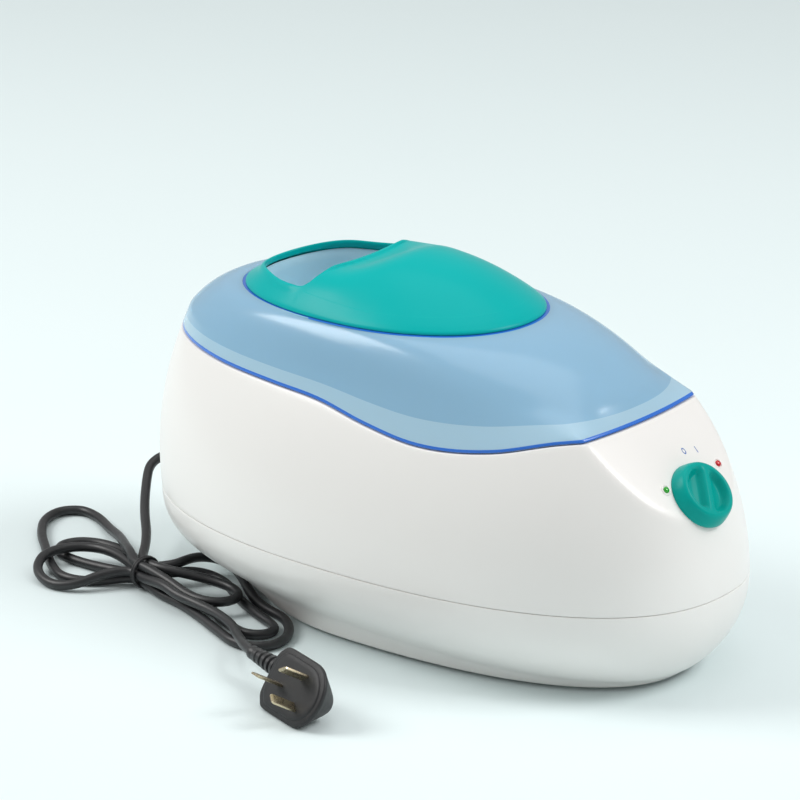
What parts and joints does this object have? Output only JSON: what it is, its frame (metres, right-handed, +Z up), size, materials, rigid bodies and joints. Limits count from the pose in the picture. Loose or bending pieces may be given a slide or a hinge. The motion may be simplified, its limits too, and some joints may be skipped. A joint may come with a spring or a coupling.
{
  "type": "paraffin wax bath",
  "caption": "Egg-shaped white paraffin wax bath with a lift-off translucent blue lid, a domed teal handle cap with a finger opening, and a rotary thermostat on a sloping front panel.",
  "frame": {"origin": "centre of the footprint of the body and its knob, on the surface the feet stand on", "axes": "+X to the control panel at the front, +Y to the left side seen from behind the body, +Z up"},
  "size_m": [0.4781, 0.312, 0.2155],
  "materials": {
    "housing": "satin-gloss white ABS",
    "teal": "glossy teal ABS",
    "lid_blue": "transparent blue polycarbonate",
    "tank": "drawn aluminium, satin",
    "grid": "white heat-resistant plastic",
    "silicone": "translucent white silicone",
    "mica": "mica laminate",
    "fibre": "glass fibre felt",
    "steel": "zinc-plated steel",
    "bright": "bright nickel plate",
    "brass": "stamped brass",
    "bakelite": "phenolic moulding",
    "black": "black nylon",
    "cord": "black PVC sheath",
    "plug": "black moulded PVC, fine texture",
    "red_wire": "red silicone insulation",
    "foot": "dark rubber",
    "green": "green indicator lens",
    "red": "red indicator lens"
  },
  "bodies": {
    "base": {"lower_housing": "housing", "upper_housing": "housing", "wax_tank": "tank", "mouth_seal": "silicone", "heater_plate": "mica", "insulation_pad": "fibre", "heat_shield": "steel", "shield_nut_1": "steel", "shield_nut_2": "steel", "thermal_fuse": "brass", "housing_screw_1": "steel", "housing_screw_2": "steel", "housing_screw_3": "steel", "housing_screw_4": "steel", "foot_1": "foot", "foot_2": "foot", "foot_3": "foot", "foot_4": "foot", "thermostat": "bakelite", "thermostat_nut": "bright", "green_lens": "green", "green_lamp": "bright", "red_lens": "red", "red_lamp": "bright", "terminal_block": "bakelite", "cord_clamp": "black", "cord_gland": "cord", "supply_lead": "cord", "heater_lead": "red_wire", "thermostat_lead": "black", "mains_cord_drop": "cord", "mains_cord_bundle": "cord", "mains_cord_tail": "cord", "twist_tie": "black", "plug_strain_relief": "cord", "plug_body": "plug", "plug_pin_live": "brass", "plug_pin_neutral": "brass", "plug_pin_earth": "brass"},
    "lid_assembly": {"lid": "lid_blue", "handle_cap": "teal"},
    "control_knob": {"knob": "teal", "thermostat_shaft": "bright"},
    "tank_grid": {"protective_grid": "grid"}
  },
  "joints": [
    {"name": "lid_lift", "type": "slide", "parent": "base", "child": "lid_assembly", "axis": [0, 0, 1], "range_m": [0, 0.12]},
    {"name": "knob_turn", "type": "hinge", "parent": "base", "child": "control_knob", "pos_m": [0.17715, 0, 0.1127], "axis": [0.7445, 0, 0.6676], "range_deg": [-270, 0]},
    {"name": "grid_lift", "type": "slide", "parent": "base", "child": "tank_grid", "axis": [0, 0, 1], "range_m": [0, 0.1]}
  ]
}
